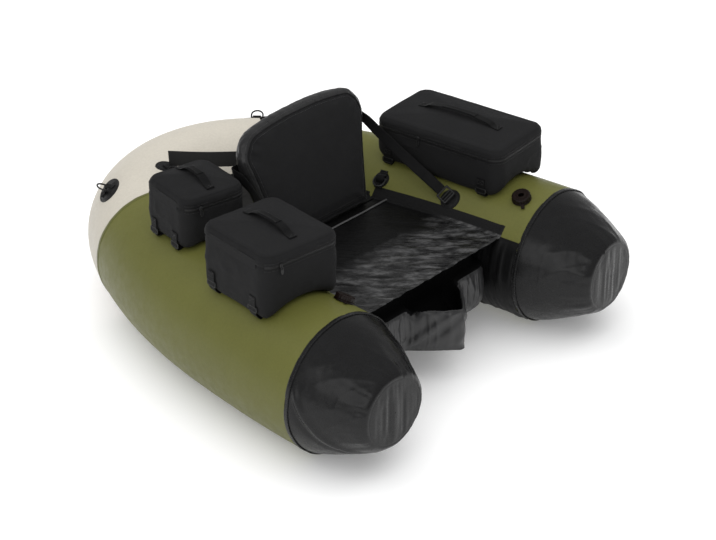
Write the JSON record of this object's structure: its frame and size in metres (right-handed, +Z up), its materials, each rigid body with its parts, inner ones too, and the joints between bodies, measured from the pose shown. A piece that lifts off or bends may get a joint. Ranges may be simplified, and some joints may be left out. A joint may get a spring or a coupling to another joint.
{
  "type": "float tube",
  "caption": "One-person inflatable float tube with U-shaped pontoon, slung seat deck, strapped backrest and zipped side bags.",
  "frame": {"origin": "centre of the plan bounding box, on the ground plane under the pontoons", "axes": "+Z up; -Y towards the open front that the sitter faces; +X the sitter's left"},
  "size_m": [1.2608, 1.3999, 0.6391],
  "materials": {
    "bag_cloth": "coated nylon, matte",
    "black_plastic": "moulded, satin",
    "black_pvc": "PVC-coated cloth, glossy and creased",
    "bladder_film": "translucent film",
    "cream_pvc": "PVC-coated cloth, satin",
    "olive_pvc": "PVC-coated cloth, satin",
    "pad_cloth": "padded nylon cover, matte",
    "steel": "black-coated wire",
    "valve_plastic": "moulded, satin",
    "webbing": "woven polyester webbing"
  },
  "bodies": {
    "float_tube": {"cargo_deck": "black_pvc", "left_bag_body": "bag_cloth", "left_bag_front_strap": "webbing", "left_bag_rear_strap": "webbing", "left_bladder": "bladder_film", "left_bow_cap": "black_pvc", "left_deck_ring_patch": "black_pvc", "left_front_strap": "webbing", "left_front_strap_anchor": "black_pvc", "left_pontoon_cover": "olive_pvc", "left_rear_ring_patch": "black_pvc", "left_rear_strap": "webbing", "left_rear_strap_anchor": "black_pvc", "left_strap_buckle": "black_plastic", "left_valve_body": "valve_plastic", "right_bladder": "bladder_film", "right_bow_cap": "black_pvc", "right_deck_ring_patch": "black_pvc", "right_front_bag_body": "bag_cloth", "right_front_bag_front_strap": "webbing", "right_front_bag_rear_strap": "webbing", "right_front_strap": "webbing", "right_front_strap_anchor": "black_pvc", "right_pontoon_cover": "olive_pvc", "right_rear_bag_body": "bag_cloth", "right_rear_bag_front_strap": "webbing", "right_rear_bag_rear_strap": "webbing", "right_rear_ring_patch": "black_pvc", "right_rear_strap": "webbing", "right_rear_strap_anchor": "black_pvc", "right_strap_buckle": "black_plastic", "right_valve_body": "valve_plastic", "seat_air_cell": "bladder_film", "seat_cushion_cover": "black_pvc", "seat_deck": "black_pvc", "stern_cover": "cream_pvc"},
    "backrest": {"backrest_cover": "pad_cloth", "backrest_air_cell": "bladder_film", "backrest_back_panel": "black_pvc"},
    "right_front_bag_lid": {"right_front_bag_lid": "bag_cloth", "right_front_bag_handle": "webbing"},
    "right_front_bag_zip_slider": {"right_front_bag_zip_slider": "black_plastic"},
    "right_rear_bag_lid": {"right_rear_bag_lid": "bag_cloth", "right_rear_bag_handle": "webbing"},
    "right_rear_bag_zip_slider": {"right_rear_bag_zip_slider": "black_plastic"},
    "left_bag_lid": {"left_bag_lid": "bag_cloth", "left_bag_handle": "webbing"},
    "left_bag_zip_slider": {"left_bag_zip_slider": "black_plastic"},
    "left_valve_cap": {"left_valve_cap": "valve_plastic"},
    "left_valve_pin": {"left_valve_pin": "valve_plastic"},
    "left_rear_d_ring": {"left_rear_d_ring": "steel"},
    "left_deck_d_ring": {"left_deck_d_ring": "steel"},
    "right_valve_cap": {"right_valve_cap": "valve_plastic"},
    "right_valve_pin": {"right_valve_pin": "valve_plastic"},
    "right_rear_d_ring": {"right_rear_d_ring": "steel"},
    "right_deck_d_ring": {"right_deck_d_ring": "steel"}
  },
  "joints": [
    {"name": "backrest_recline", "type": "hinge", "parent": "float_tube", "child": "backrest", "pos_m": [0, -0.04, 0.2955], "axis": [1, 0, 0], "range_deg": [-12, 16], "deforming": ["left_front_strap", "right_front_strap", "left_rear_strap", "right_rear_strap"]},
    {"name": "right_front_bag_lid_hinge", "type": "hinge", "parent": "float_tube", "child": "right_front_bag_lid", "pos_m": [-0.53749, -0.23253, 0.508], "axis": [-0.1288, -0.9917, 0], "range_deg": [0, 105]},
    {"name": "right_front_bag_zip", "type": "slide", "parent": "float_tube", "child": "right_front_bag_zip_slider", "axis": [0.9917, -0.1288, 0], "range_m": [0, 0.151]},
    {"name": "right_rear_bag_lid_hinge", "type": "hinge", "parent": "float_tube", "child": "right_rear_bag_lid", "pos_m": [-0.43655, 0.11538, 0.494], "axis": [-0.1994, -0.9799, 0], "range_deg": [0, 105]},
    {"name": "right_rear_bag_zip", "type": "slide", "parent": "float_tube", "child": "right_rear_bag_zip_slider", "axis": [0.9799, -0.1994, 0], "range_m": [0, 0.102]},
    {"name": "left_bag_lid_hinge", "type": "hinge", "parent": "float_tube", "child": "left_bag_lid", "pos_m": [0.55374, -0.16114, 0.475], "axis": [-0.0872, 0.9962, 0], "range_deg": [0, 105]},
    {"name": "left_bag_zip", "type": "slide", "parent": "float_tube", "child": "left_bag_zip_slider", "axis": [-0.0872, 0.9962, 0], "range_m": [-0.205, 0.1]},
    {"name": "left_valve_cap_turn", "type": "hinge", "parent": "float_tube", "child": "left_valve_cap", "pos_m": [0.37208, -0.44353, 0.37022], "axis": [-0.3413, -0.0224, 0.9397], "continuous": true},
    {"name": "left_valve_pin_press", "type": "slide", "parent": "float_tube", "child": "left_valve_pin", "axis": [-0.3413, -0.0224, 0.9397], "range_m": [-0.004, 0], "stiffness_N_per_m": 300, "springref_m": 0.002},
    {"name": "left_rear_d_ring_swing", "type": "hinge", "parent": "float_tube", "child": "left_rear_d_ring", "pos_m": [0.30284, 0.49639, 0.34061], "axis": [0.6471, -0.7624, 0], "range_deg": [-56, 112]},
    {"name": "left_deck_d_ring_swing", "type": "hinge", "parent": "float_tube", "child": "left_deck_d_ring", "pos_m": [0.25111, -0.03627, 0.34061], "axis": [-0.2182, 0.9759, 0], "range_deg": [-4, 162]},
    {"name": "right_valve_cap_turn", "type": "hinge", "parent": "float_tube", "child": "right_valve_cap", "pos_m": [-0.34065, -0.42998, 0.35603], "axis": [0.4988, -0.0349, 0.866], "continuous": true},
    {"name": "right_valve_pin_press", "type": "slide", "parent": "float_tube", "child": "right_valve_pin", "axis": [0.4988, -0.0349, 0.866], "range_m": [-0.004, 0], "stiffness_N_per_m": 300, "springref_m": 0.002},
    {"name": "right_rear_d_ring_swing", "type": "hinge", "parent": "float_tube", "child": "right_rear_d_ring", "pos_m": [-0.30284, 0.49639, 0.34061], "axis": [0.6471, 0.7624, 0], "range_deg": [-56, 112]},
    {"name": "right_deck_d_ring_swing", "type": "hinge", "parent": "float_tube", "child": "right_deck_d_ring", "pos_m": [-0.25111, -0.03627, 0.34061], "axis": [-0.2182, -0.9759, 0], "range_deg": [-4, 162]}
  ]
}
